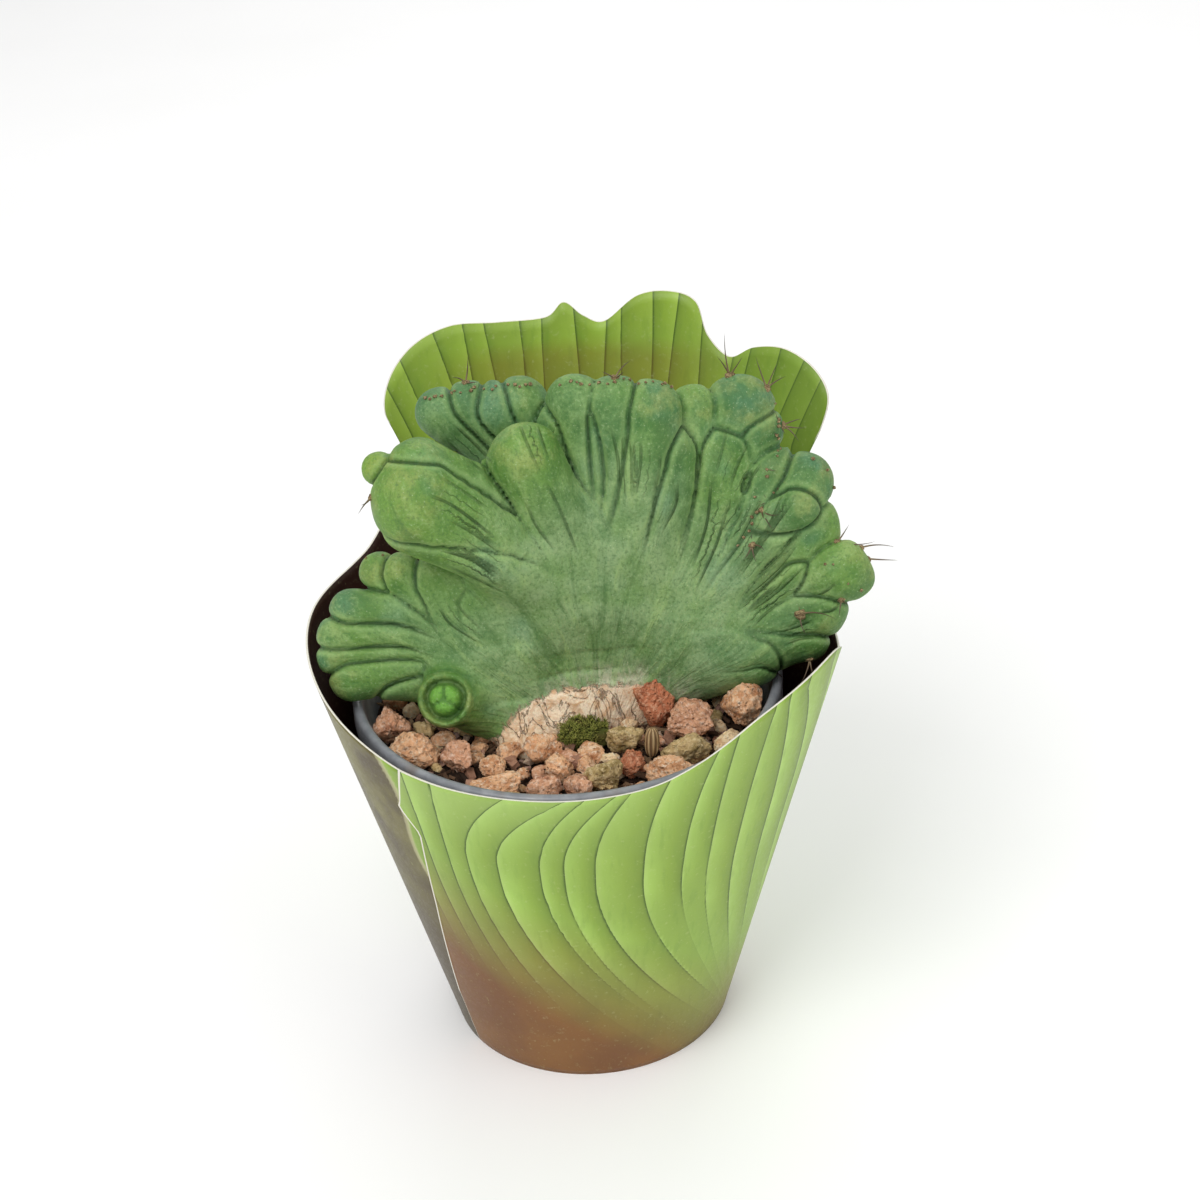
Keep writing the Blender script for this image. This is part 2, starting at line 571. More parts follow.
def skinPaint():
    p = Paint("cactusSkin")
    spot = p.place()
    tip, tint, groove = p.attribute("tip"), p.attribute("tint"), p.attribute("groove")
    cork, bud = p.attribute("cork"), p.attribute("bud")
    axis = p.add("ShaderNodeSeparateXYZ", {}, {0: spot})
    side, height = axis[0], axis[2]
    broad = p.noise(spot, 0.045, 3.0)
    patch = p.noise(spot, 0.16, 6.0, 0.62)
    fine = p.noise(spot, 1.3, 6.0, 0.7)
    dots = p.cells(spot, 0.7)
    # flutes that run out from the heart along the folds
    across, up = side - 5.0, height - 82.0
    swing, away = across.maths("ARCTAN2", across, up), (across * across + up * up) ** 0.5
    fan = p.add("ShaderNodeCombineXYZ", {}, {0: swing * 9.0, 1: away * 0.045, 2: axis[1] * 0.08})[0]
    rays = p.noise(fan, 1.0, 5.0, 0.6, 0.6)
    base = p.mix(broad.fit(0.38, 0.62), "467337", "628a3f")
    base = p.mix(patch.fit(0.4, 0.66) * 0.55, base, "7fa35f")
    base = p.mix((tint * (tip.fit(0.2, 0.9))).most(0.0).least(1.0) * 0.85, base, "7da337")
    base = p.mix((0.0 - tint).most(0.0).least(1.0), base, "4f7a5a")
    base = p.mix(p.noise(spot, 0.07, 2.0).fit(0.5, 0.7) * 0.35, base, "5d8c74")
    base = p.mix(tip.fit(0.9, 1.0) * patch.fit(0.4, 0.7) * 0.45, base, "979a50")
    bloom = tip.fit(0.25, 0.95, 1.0, 0.0) * patch.fit(0.25, 0.7, 0.35, 1.0)
    base = p.mix(bloom * 0.6, base, "9ab183")
    # wax rubbed pale above the foot, in streaks that fan upwards
    streak = p.noise(p.place((1000, 500, 240)), 0.35, 6.0, 0.75, 1.2)
    sideways, above = (side - 8.0) * 0.6, height - 90.0
    reach = sideways * sideways + above * above
    wax = (reach ** 0.5 + rays * 14.0 - patch * 8.0).fit(8.0, 20.0, 1.0, 0.0)
    base = p.mix(wax * streak.fit(0.36, 0.6) * 0.95, base, "dcd6bb")
    base = p.mix(rays.fit(0.52, 0.68) * 0.45, base, "9dba72")
    base = p.mix(rays.fit(0.34, 0.48, 1.0, 0.0) * 0.5, base, "446b33")
    base = p.mix(bud * 0.7, base, "74b040")
    base = p.mix(fine.fit(0.36, 0.5, 1.0, 0.0) * 0.5, base, "3f6634")
    base = p.mix(fine.fit(0.54, 0.66) * 0.35, base, "a8c08c")
    base = p.mix(dots.fit(0.03, 0.12, 1.0, 0.0) * 0.5, base, "c3d5ac")
    base = p.mix(groove.fit(0.2, 1.5) * 0.55, base, "2c5024")
    # thin dark creases with paler skin along both sides of them
    parting, drawn = p.attribute("parting").size(), p.attribute("drawn")
    meeting = parting.fit(0.05, 0.6, 1.0, 0.0) * drawn
    pressed = p.attribute("beside").size().fit(0.05, 0.5, 1.0, 0.0) * p.attribute("pressed")
    crease = meeting.most(pressed) * broad.fit(0.35, 0.6, 0.55, 1.0)
    lip = parting.fit(0.5, 1.0) * parting.fit(1.1, 2.4, 1.0, 0.0) * drawn
    base = p.mix(lip * 0.3, base, "a5c67c")
    base = p.mix(crease * 0.72, base, "25421a")
    # cork at the foot
    crust = p.noise(spot, 0.35, 7.0, 0.68, 0.8)
    foot = height.fit(91.0, 100.0, 1.0, 0.0) * (side - 3.0).size().fit(12.0, 20.0, 1.0, 0.0)
    corky = (cork * 1.3 + foot + (crust - 0.5) * 1.5).fit(0.4, 0.6)
    crack = p.noise(p.place((1000, 1000, 400)), 0.16, 4.0, 0.6, 1.0)
    crack = (crack - 0.5).size().fit(0.0, 0.02, 1.0, 0.0) * crust.fit(0.3, 0.5)
    bark = p.mix(crust.fit(0.4, 0.7), "fce8ca", "dcae80")
    bark = p.mix(fine.fit(0.5, 0.7) * 0.5, bark, "a87c56")
    bark = p.mix(crack * 0.35, bark, "7d5a40")
    base = p.mix(corky, base, bark)
    relief = fine * 0.3 + patch * 0.7 + rays * 2.2 - crease * 1.2 + corky * (crust * 1.2 - crack * 1.8)
    return p.finish(base, fine.fit(0.3, 0.7, 0.46, 0.66), relief, 0.5 * mm, specular=0.32,
                    subsurface=0.05, subsurfaceScale=0.002)


cactus = makeCactus(crest, skinPaint())
settle(cactus, "cactus_skin", "cactus_crest")
print("cactus done")

# card sleeve
# Knots of the curved top edge as [degrees round, height in mm]: 0 is +X, 270 the front. They run
# from the seam at the front left round by the right, over the back panel and back to the seam.
sleeve = {
    "middle": -0.9, "middleSlope": 0.011, "halfWidth": 35, "sideSlope": 0.273,
    "halfDepth": 35.2, "depthSlope": 0.205, "card": 0.5,
    "seam": 225, "seamHalf": 0.14, "lapWidth": 25, "lapLift": 0.3, "waist": 0.78,
    "slit": (0.18, 0.87), "columns": 560, "rows": 60,
}
edgeFront = [(225.4, 98.5), (240, 97.4), (263, 97), (275, 97.5), (286, 99), (295, 102.5), (302, 106.3),
             (310, 110.5), (322, 113.5), (333, 114.5), (342, 111), (352, 104.5), (366, 103), (378, 107)]
edgePanel = [(388, 128), (394, 134), (392, 142), (392, 150), (397, 155), (405, 157.5), (412, 156),
             (417, 152.5), (422, 157), (425, 165), (430, 167), (436, 165.5), (442, 159), (446, 160.5),
             (449.5, 164), (453, 160.5), (462, 160.5), (471, 161.5), (479, 158.5), (485, 152),
             (487.5, 144), (485, 135), (488, 127)]
edgeBack = [(497, 116.5), (507, 112.5), (528, 111.5), (543, 109), (561, 104.5), (574, 101.4), (584.6, 98.6)]
# how far the seam and the card beside it swing round, as (share of the height, degrees)
seamShape = [(0, -12), (0.18, -11.7), (0.53, -3), (0.79, 1.8), (0.86, -2.8), (0.885, -1.4), (1, 2.5)]

# The print is a fan of leaf-like folds. Each line between two folds of the front stands at
# "middle" degrees half way up, sweeps round to the right towards the foot, hooks over at the top
# and fades out below the last height. Elsewhere the lines stand upright, a "step" apart, and lean
# out at both sides of the panel.
foldPrint = {
    "front": [(214, 20, 0, 20), (222, 26, 0, 44), (228, 30, 0, 40), (234.5, 38, 1, 34), (240, 47, 14, 30),
              (248, 56, 20, 26), (259, 60, 12, 24), (264.5, 54, 13, 52), (272, 60, 8, 22), (284, 58, 4, 16),
              (294.5, 46, 3, 48), (302, 38, 1, 62), (311, 33, 1, 34), (322, 23, -2, 28),
              (333, 16, -4, 50), (343, 12, -3, 30), (351, 10, -3, 26)],
    "bend": 70, "hookFrom": 74, "hookOver": 24,
    "rest": (359, 600), "step": 4.9, "waver": 1.0,
    "lean": 8, "leanFrom": 136, "panelMiddle": 440, "panelHalf": 48,
    # how high the brown foot reaches at some angles, and the angle where the green ends at the seam
    "brownAt": [225, 240, 262, 290, 312, 345, 400, 585], "brownTop": [70, 62, 52, 38, 27, 22, 20, 40],
    "border": 221.5,
}


def seamSwing(s, share):
    return np.interp(share, [a for a, _ in seamShape], [b for _, b in seamShape])


def sleeveGrid(s):
    outline = edgeFront + edgePanel + edgeBack
    first, last = len(edgeFront), len(edgeFront) + len(edgePanel)
    feet = [a for a, _ in outline]
    steps = [math.dist(outline[i - 1], outline[i]) for i in range(first, last + 1)]
    run = np.cumsum(steps) / sum(steps)
    for i in range(first, last + 1):
        feet[i] = outline[first - 1][0] + run[i - first] * (outline[last][0] - outline[first - 1][0])
    curve = smoothCurve([(a, h, f) for (a, h), f in zip(outline, feet)], s["columns"])
    top, height, foot = curve[:, :1], curve[:, 1:2], curve[:, 2:]
    ends = (s["seam"] + s["seamHalf"], s["seam"] + 360 - s["seamHalf"])
    foot = ends[0] + (foot - foot[0]) * (ends[1] - ends[0]) / (foot[-1] - foot[0])
    share = np.linspace(0, 1, s["rows"])[None, :]
    spread = np.clip((share - s["waist"]) / (1 - s["waist"]), 0, 1)
    near = np.clip(1 - np.minimum(foot - s["seam"], s["seam"] + 360 - foot) / s["lapWidth"], 0, 1)
    angle = foot + spread * (top - foot) + near * seamSwing(s, share)
    onLeft = foot - s["seam"] > 180
    leftTop = (share > s["slit"][0]) & (share < s["slit"][1])
    lapped = (onLeft & leftTop) | (~onLeft & (share >= s["slit"][1]))
    lift = s["card"] * s["lapLift"] * np.where(lapped, near, 0)
    return angle, share * height, lift


def sleevePlace(s, angle, height, outward):
    a = np.radians(angle)
    wide = s["halfWidth"] + s["sideSlope"] * height + outward
    deep = s["halfDepth"] + s["depthSlope"] * height + outward
    middle = s["middle"] + s["middleSlope"] * height
    return np.stack([middle + wide * np.cos(a), deep * np.sin(a), height], -1)


def printLines(s, height):
    # the angle of every line of the print at each height, one row a line
    down = np.clip((s["bend"] - height) / s["bend"], 0, 1) ** 2
    over = np.clip((height - s["hookFrom"]) / s["hookOver"], 0, 1.5) ** 2
    rows = [middle + sweep * down + hook * over for middle, sweep, hook, _ in s["front"]]
    up = np.clip((height - s["leanFrom"]) / 20, 0, 1.4)
    low, high = s["rest"]
    for i, middle in enumerate(np.arange(low, high, s["step"])):
        sideways = (middle - s["panelMiddle"]) / s["panelHalf"]
        lean = s["lean"] * np.sign(sideways) * min(abs(sideways), 1.1) ** 3
        wave = s["waver"] * (np.sin(i * 2.4 + height * 0.045) + 0.6 * np.sin(i * 5.1))
        rows.append(middle + 10 * down * max(0, 1 - i / 6) + lean * up + wave)
    return np.maximum.accumulate(np.stack(rows) + np.arange(len(rows))[:, None] * 0.02)


def foldPhase(s, angle, height):
    # which fold of the print a spot lies on and how far across, its width in degrees, and how
    # strongly the line on its right is drawn
    lines = printLines(s, height)
    index = np.clip((lines <= angle[None, :]).sum(0) - 1, 0, len(lines) - 2)
    spot = np.arange(len(angle))
    left, right = lines[index, spot], lines[index + 1, spot]
    across = np.clip((angle - left) / np.maximum(right - left, 0.01), 0, 0.999)
    fades = np.array([fade for *_, fade in s["front"]])
    ends = fades[np.minimum(index + 1, len(fades) - 1)]
    drawn = np.where(index + 1 < len(fades), np.clip((height - ends) / 16, 0, 1), 0.85)
    return index + across, right - left, drawn


def printPaint(name, inside):
    p = Paint(name)
    spot = p.place()
    phase = p.attribute("phase")
    across = phase.fract()
    own = ((phase - across) * 0.618).fract()  # each fold's own tone
    wide, leaf = p.attribute("wide"), p.attribute("leaf")
    brown, high, faint = p.attribute("brown"), p.attribute("high"), p.attribute("faint")
    cloud = p.noise(spot, 0.05, 4.0)
    grain = p.noise(spot, 0.8, 5.0, 0.65)
    streak = p.noise(p.place((1000, 1000, 120)), 0.55, 4.0)
    base = p.ramp(across, [(0.0, "b6d674"), (0.15, "a8cc60"),
                           (0.6, "8dac41"), (0.9, "769233"), (1.0, "5b7525")])
    if inside:
        base = p.ramp(across, [(0.0, "a8c750"), (0.3, "98b840"),
                               (0.7, "87a535"), (1.0, "668428")])
    shade = faint * 0.8 + 0.2
    base = p.mix(shade, "8fae48", base)
    base = p.mix(own * 0.3, base, "8a9f40")
    base = p.mix(cloud.fit(0.3, 0.7) * 0.4, base, "84a046")
    base = p.mix(streak.fit(0.5, 0.75) * 0.3, base, "6f9138")
    line = (1.0 - across) * wide
    line = line.fit(0.08, 0.7, 1.0, 0.0) * grain.fit(0.2, 0.5, 0.7, 1.0) * faint
    base = p.mix(high.fit(0.0, 1.0) * 0.4, base, "5f8020" if inside else "aecb78")
    base = p.mix(line * 0.85, base, "3f5a1f")
    soil = p.mix(cloud.fit(0.3, 0.7), "835328", "744526")
    base = p.mix(brown * 0.96, base, soil)
    height = p.add("ShaderNodeSeparateXYZ", {}, {0: spot})[2]
    ground = p.mix(height.fit(25.0, 80.0) * p.noise(spot, 0.05, 3.0).fit(0.3, 0.6), "4d4026",
                   "76703e")
    if inside:
        ground = p.mix(cloud, "3a1d18", "281310")
    rim = leaf.fit(0.05, 0.3) * leaf.fit(0.7, 0.95, 1.0, 0.0)
    base = p.mix(leaf.fit(0.35, 0.65), ground, base)
    if not inside:
        base = p.mix(rim * 0.7, base, "b9b48a")
    base = p.mix(grain.fit(0.55, 0.8) * 0.25, base, "d5dca4")
    return p.finish(base, grain.fit(0.3, 0.7, 0.36, 0.5), grain, 0.02 * mm, specular=0.35)


def edgePaint():
    p = Paint("cardEdge")
    fibre = p.noise(p.place((1000, 1000, 4000)), 1.2, 3.0)
    return p.finish(p.mix(fibre, "f3f0e6", "d9d3c2"), 0.8, fibre, 0.05 * mm)


def printValues(s, angle, height):
    # where the print fades to brown, where it is green, and where it is palest
    brownTop = np.interp(angle, s["brownAt"], s["brownTop"])
    brown = np.clip((brownTop + 6 - height) / 40, 0, 1)
    leftOf = np.where(angle > 500, angle - 360, angle)
    border = s["border"] + 2.0 * np.sin(height * 0.16) + np.clip((88 - height) * 0.16, 0, 12)
    leaf = np.where(angle > 560, np.clip((leftOf - border) / 2.4 + 0.5, 0, 1), 1)
    leaf = np.where((angle > 440) & (angle <= 560), np.clip((505 - angle) / 6, 0, 1), leaf)
    high = np.clip((height - 74) / 26, 0, 1) * np.clip((320 - angle) / 60, 0, 1)
    return brown, leaf, high


def makeSleeve(s):
    angle, height, lift = sleeveGrid(s)
    inner = sleevePlace(s, angle, height, -s["card"] / 2)
    outer = sleevePlace(s, angle, height, s["card"] / 2 + lift)
    columns, rows = angle.shape
    points = np.concatenate([inner.reshape(-1, 3), outer.reshape(-1, 3)]) * mm
    number = np.arange(columns * rows).reshape(columns, rows)
    after = np.roll(number, -1, axis=0)
    out = columns * rows

    def quads(a, b, c, d):
        return np.stack([a.ravel(), b.ravel(), c.ravel(), d.ravel()], 1)
    low, up, lowAfter, upAfter = number[:, :-1], number[:, 1:], after[:, :-1], after[:, 1:]
    outside = quads(low + out, lowAfter + out, upAfter + out, up + out)
    inside = quads(low, up, upAfter, lowAfter)
    foot = quads(number[:, 0], after[:, 0], after[:, 0] + out, number[:, 0] + out)
    rim = quads(number[:, -1] + out, after[:, -1] + out, after[:, -1], number[:, -1])
    faces = np.concatenate([outside, inside, foot, rim])
    slots = np.zeros(len(faces), int)
    slots[len(outside):] = 1
    slots[len(outside) + len(inside):] = 2
    slots[(columns - 1) * (rows - 1):columns * (rows - 1)] = 2  # the cut edge at the seam
    piece = makeMesh("printed_sleeve", points, faces,
                     [printPaint("printOutside", False), printPaint("printInside", True), edgePaint()],
                     faceSlots=slots)
    angle, height = angle.ravel(), height.ravel()
    phase, wide, faint = foldPhase(foldPrint, angle, height)
    wide = wide * np.radians(1) * (s["halfWidth"] + s["sideSlope"] * height)
    brown, leaf, high = printValues(foldPrint, angle, height)
    insideLeaf = np.clip((height - 117) / 12, 0, 1)
    low = np.clip((155 - height) / 10, 0, 0.4) * np.clip(2 - np.abs(angle - 446) / 16, 0, 1)
    for name, within, without in (("phase", phase, phase), ("wide", wide, wide), ("leaf", insideLeaf, leaf),
                                  ("brown", low, brown), ("high", np.clip((422 - angle) / 16, 0, 1), high),
                                  ("faint", faint, faint)):
        storeValues(piece, name, np.concatenate([within, without]))
    return piece


settle(makeSleeve(sleeve), "printed_card", "card_sleeve")
print("sleeve done")


# grow pot
pot = {"segments": 144, "rimRadius": 52.5, "baseRadius": 31.5, "rimDepth": 8, "lip": 2.6, "wall": 1.2}


def potPaint():
    p = Paint("potPlastic")
    spot = p.place()
    scuff = p.noise(spot, 0.25, 5.0)
    fine = p.noise(p.place((1000, 1000, 120)), 0.8, 4.0)
    dust = p.noise(spot, 0.1, 3.0)
    base = p.mix(scuff.fit(0.35, 0.7), "7e8186", "96999d")
    base = p.mix(dust.fit(0.55, 0.75) * 0.4, base, "8a7a68")
    return p.finish(base, fine.fit(0.3, 0.7, 0.28, 0.44), scuff, 0.08 * mm, specular=0.5)


def makePot(s):
    low, high = boxOf("grow_pot")
    centre, top = (low[:2] + high[:2]) / 2, high[2]
    shoulder = top - s["rimDepth"]
    turn = np.linspace(0, 2 * math.pi, s["segments"], endpoint=False)
    rim, base, wall = s["rimRadius"], s["baseRadius"], s["wall"]
    inside = rim - s["lip"]
    outline = [(base - 1.4, 0), (base - 0.5, 0.3), (base, 1.2), (inside, shoulder),
               (rim - 0.9, shoulder + 0.5), (rim - 0.1, shoulder + 1.2), (rim, shoulder + 2),
               (rim, top - 1.3), (rim - 0.35, top - 0.4), (rim - 1.2, top), (rim - 2.0, top - 0.2),
               (rim - 2.5, top - 0.9),
               (inside, top - 2), (inside - 0.9, shoulder + 0.5), (inside - 1.2, shoulder),
               (base - wall + 0.3, 3), (base - 2.6, wall)]
    points = []
    for radius, level in outline:
        points += [(centre[0] + radius * math.cos(a), centre[1] + radius * math.sin(a), level) for a in turn]
    faces = tubeSides(len(outline), s["segments"]) + tubeCaps(len(outline), s["segments"])
    piece = makeMesh("nursery_pot", np.array(points) * mm, faces, [potPaint()])
    return piece, centre


potPiece, potCentre = makePot(pot)
settle(potPiece, "pot_plastic", "grow_pot")
print("pot done")


# potting mix
soil = {"rings": 80, "spokes": 220, "level": 86.0, "taper": 0.62, "lumps": 1.3,
        "bits": 1500, "grit": 420, "seed": 5}


def soilPaint():
    p = Paint("pottingMix")
    spot = p.place()
    clump = p.noise(spot, 0.5, 6.0, 0.7)
    strand = p.noise(spot, 2.4, 5.0, 0.7, 1.5)
    base = p.ramp(clump, [(0.3, "17100c"), (0.5, "33241b"), (0.62, "4d392b"),
                          (0.8, "6b5340")])
    base = p.mix(strand.fit(0.55, 0.75) * 0.5, base, "7b634c")
    return p.finish(base, 0.95, strand * 0.5 + clump, 1.2 * mm, specular=0.2)


def soilHeight(x, y):
    v = Vector((x, y, 0))
    return (1.6 * noise.noise(v * 0.11) + 1.0 * noise.noise(v * 0.31 + Vector((7, 3, 1)))
            + 0.6 * noise.noise(v * 0.9 + Vector((1, 9, 4))))


def makeSoil(s, centre):
    low, high = boxOf("potting_mix")
    radius = (high[0] - low[0]) / 2 - 0.1
    foot, level = radius * s["taper"], s["level"]
    points, faces = [], []
    n = s["spokes"]
    for r in range(1, s["rings"] + 1):
        share = r / s["rings"]
        for i in range(n):
            a = 2 * math.pi * i / n
            x, y = radius * share * math.cos(a), radius * share * math.sin(a)
            rise = soilHeight(x, y) * s["lumps"] * min(1, (1 - share) * 8 + 0.25)
            points.append((centre[0] + x, centre[1] + y, level + rise))
    for i in range(n):
        a = 2 * math.pi * i / n
        points.append((centre[0] + foot * math.cos(a), centre[1] + foot * math.sin(a), low[2]))
    for r in range(s["rings"]):
        for i in range(n):
            j = (i + 1) % n
            faces.append((r * n + i, (r + 1) * n + i, (r + 1) * n + j, r * n + j))
    points.append((centre[0], centre[1], level + soilHeight(0, 0)))
    faces += [(len(points) - 1, i, (i + 1) % n) for i in range(n)]
    faces.append(tuple(reversed([s["rings"] * n + i for i in range(n)])))
    piece = makeMesh("peat_mix", np.array(points) * mm, faces, [soilPaint()])
    bm = bmesh.new()
    bm.from_mesh(piece.data)
    bmesh.ops.recalc_face_normals(bm, faces=bm.faces)
    bm.to_mesh(piece.data)
    bm.free()
    return piece, radius, level


soilPiece, soilRadius, soilLevel = makeSoil(soil, potCentre)
settle(soilPiece, "potting_mix", "potting_mix")


def scatterChips(name, count, sizes, long, material, rng, centre, radius, sink):
    # small broken bits lying on the mix, each a skewed little block
    points, faces, shade = [], [], []
    cube = [(x, y, z) for z in (-1, 1) for x, y in ((-1, -1), (1, -1), (1, 1), (-1, 1))]
    sides = [(0, 3, 2, 1), (4, 5, 6, 7), (0, 1, 5, 4), (1, 2, 6, 5), (2, 3, 7, 6), (3, 0, 4, 7)]
    for _ in range(count):
        a, r = rng.uniform(0, 2 * math.pi), radius * math.sqrt(rng.random())
        x, y = r * math.cos(a), r * math.sin(a)
        size = rng.uniform(*sizes)
        turn = Matrix.Rotation(rng.uniform(0, 6.3), 3, "Z")
        turn = turn @ Matrix.Rotation(rng.uniform(-0.6, 0.6), 3, "Y")
        turn = turn @ Matrix.Rotation(rng.uniform(-0.5, 0.5), 3, "X")
        stretch = (size * rng.uniform(1, long), size * rng.uniform(0.45, 0.9), size * rng.uniform(0.35, 0.75))
        spot = Vector((centre[0] + x, centre[1] + y,
                       soilLevel + soilHeight(x, y) * soil["lumps"] + size * sink))
        tone = rng.random()
        base = len(points)
        for corner in cube:
            v = Vector([c * k * rng.uniform(0.55, 1.0) for c, k in zip(corner, stretch)])
            points.append(tuple(spot + turn @ v))
            shade.append(tone)
        faces += [tuple(base + i for i in side) for side in sides]
    piece = makeMesh(name, np.array(points) * mm, faces, [material], smooth=False)
    storeValues(piece, "tone", shade)
    return piece


def chipPaint(name, stops, relief):
    p = Paint(name)
    spot = p.place()
    grain = p.noise(spot, 1.8, 5.0, 0.65)
    base = p.mix(grain * 0.6, p.ramp(p.attribute("tone"), stops), "2a1c14")
    return p.finish(base, 0.9, grain, relief * mm, specular=0.25)


draw = random.Random(soil["seed"])
settle(scatterChips("peat_bits", soil["bits"], (0.35, 1.1), 4.5, chipPaint(
    "barkBits", [(0.0, "2b1d15"), (0.5, "5a4130"), (0.85, "8b6d52"),
                 (1.0, "c2a581")], 0.4), draw, potCentre, soilRadius - 1.5, 0.35), "potting_mix")
settle(scatterChips("pumice_grit", soil["grit"], (0.6, 1.9), 1.5, chipPaint(
    "gritStone", [(0.0, "a9745c"), (0.4, "c99b80"), (0.7, "b08d84"),
                  (1.0, "dcc3a8")], 0.3), draw, potCentre, soilRadius - 2.5, 0.45), "pumice")
print("potting mix done")


# pumice and lava stones
stonePalette = {
    "tan": ("f7c193", "d3966a", "ffe9cd"),
    "mauve": ("e3ab86", "b67e60", "ffdfc6"),
    "red": ("d48560", "ab6345", "f2bc98"),
    "cream": ("fcdcae", "dcb083", "fff4d8"),
    "olive": ("d2b581", "9c8452", "eed8aa"),
}
stoneKinds = ["mauve", "tan", "mauve", "tan", "tan", "mauve", "tan", "olive", "red", "tan", "olive", "red",
              "mauve", "olive", "tan", "cream", "tan"]
stoneShape = {"cuts": 10, "nearest": 0.58, "furthest": 0.95, "sharp": 34, "swell": 1.08}
gravel = {"count": 105, "bare": (-27, -33, 10), "sizes": (1.5, 3.4), "seed": 21,
          "kinds": ["tan", "cream", "mauve", "tan", "olive"]}


def stonePaint(kind):
    main, dark, pale = stonePalette[kind]
    p = Paint(kind + "Pumice")
    spot = p.place()
    broad = p.noise(spot, 0.25, 5.0)
    rough = p.noise(spot, 0.9, 7.0, 0.72)
    pits = p.cells(spot, 0.85).fit(0.0, 0.4)
    tiny = p.cells(spot, 2.4).fit(0.0, 0.4)
    base = p.mix(broad.fit(0.45, 0.65), main, dark)
    base = p.mix(rough.fit(0.47, 0.66) * 0.85, base, pale)
    base = p.mix((1.0 - pits) * 0.35, base, "8a5d43")
    base = p.mix((1.0 - tiny) * 0.15, base, "8a5c42")
    return p.finish(base, 0.93, rough * 1.1 + pits * 0.8 + tiny * 0.3, 0.65 * mm, specular=0.2)


stonePaints = {kind: stonePaint(kind) for kind in stonePalette}


def stoneForm(subdivisions, rng, s):
    # a broken lump of about unit size: a ball cut by random planes and crumbled by noise
    bm = bmesh.new()
    bmesh.ops.create_icosphere(bm, subdivisions=subdivisions, radius=1)
    directions = np.array([v.co[:] for v in bm.verts])
    faces = np.array([[v.index for v in f.verts] for f in bm.faces])
    bm.free()
    directions /= np.linalg.norm(directions, axis=1)[:, None]
    normals = rng.normal(size=(s["cuts"], 3))
    normals /= np.linalg.norm(normals, axis=1)[:, None]
    offsets = rng.uniform(s["nearest"], s["furthest"], s["cuts"])
    reach = np.minimum(offsets / np.maximum(directions @ normals.T, 0.05), 3)
    radius = -np.log(np.exp(-s["sharp"] * reach).sum(1) + math.exp(-s["sharp"] * 1.1)) / s["sharp"]
    shift = Vector(rng.uniform(-50, 50, 3))
    crumbs = []
    for direction in directions:
        d = Vector(direction)
        crumbs.append(0.14 * noise.noise(d * 1.6 + shift) + 0.12 * noise.noise(d * 3.7 + shift)
                      + 0.08 * noise.noise(d * 8 + shift) + 0.045 * noise.noise(d * 18 + shift))
    points = directions * (radius + np.array(crumbs))[:, None]
    low, high = points.min(0), points.max(0)
    return (points - (low + high) / 2) / ((high - low) / 2), faces


def makeStone(node, kind, seed):
    low, high = (np.array(c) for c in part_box(node))
    points, faces = stoneForm(5, np.random.default_rng(seed), stoneShape)
    points = points * (high - low) / 2 * stoneShape["swell"] + (low + high) / 2
    return makeMesh(node.replace("pumice", "lava"), points, faces, [stonePaints[kind]])


stoneNodes = sorted(n for n in nodes if n.startswith("pumice_stone"))
for i, node in enumerate(stoneNodes):
    kind = stoneKinds[i] if i < len(stoneKinds) else ["tan", "mauve", "red", "cream"][i % 4]
    settle(makeStone(node, kind, 100 + i), "pumice", node)


def stoneSpots(s, rng):
    # free places for small stones, clear of the big ones, the plant and one patch of bare mix
    taken = [(np.array(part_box(n)) / mm) for n in stoneNodes + ["moss_clump", "seed_husk"]]
    rounds = [((b[0] + b[1]) / 2, (b[1] - b[0])[:2].mean() / 2) for b in taken]
    spots = []
    for _ in range(6000):
        if len(spots) == s["count"]:
            break
        size = rng.uniform(*s["sizes"]) * (1 if len(spots) > 30 else 1.2)
        a, r = rng.uniform(0, 2 * math.pi), (soilRadius - size - 0.5) * math.sqrt(rng.random())
        x, y = potCentre[0] + r * math.cos(a), potCentre[1] + r * math.sin(a)
        inPlant = abs(x - 3) < 19 and -5 < y < 13
        onBare = math.hypot(x - s["bare"][0], y - s["bare"][1]) < s["bare"][2]
        crowded = any(math.hypot(x - c[0], y - c[1]) < (size + reach) * 0.8 for c, reach in rounds)
        if not (inPlant or onBare or crowded):
            spots.append((x, y, size))
            rounds.append((np.array([x, y, 0]), size))
    return spots


def makeGravel(s):
    rng = np.random.default_rng(s["seed"])
    points, faces, slots, count = [], [], [], 0
    for number, (x, y, size) in enumerate(stoneSpots(s, rng)):
        form, sides = stoneForm(4 if y < 0 and size > 2.2 else 3, rng, stoneShape)
        stretch = size * np.array([rng.uniform(0.9, 1.25), rng.uniform(0.8, 1.05), rng.uniform(0.7, 0.95)])
        turn = np.array(Matrix.Rotation(rng.uniform(0, 6.3), 3, "Z"))
        level = soilLevel + soilHeight(x - potCentre[0], y - potCentre[1]) * soil["lumps"]
        points.append((form * stretch) @ turn.T + np.array([x, y, level + size * 0.45]))
        faces.append(sides + count)
        slots += [number % len(s["kinds"])] * len(sides)
        count += len(form)
    return makeMesh("small_gravel", np.concatenate(points) * mm, np.concatenate(faces),
                    [stonePaints[kind] for kind in s["kinds"]], faceSlots=slots)


settle(makeGravel(gravel), "pumice")
print("stones done")


# moss and seed husk
moss = {"tufts": 420, "blades": 7, "length": (0.7, 1.7), "seed": 8}


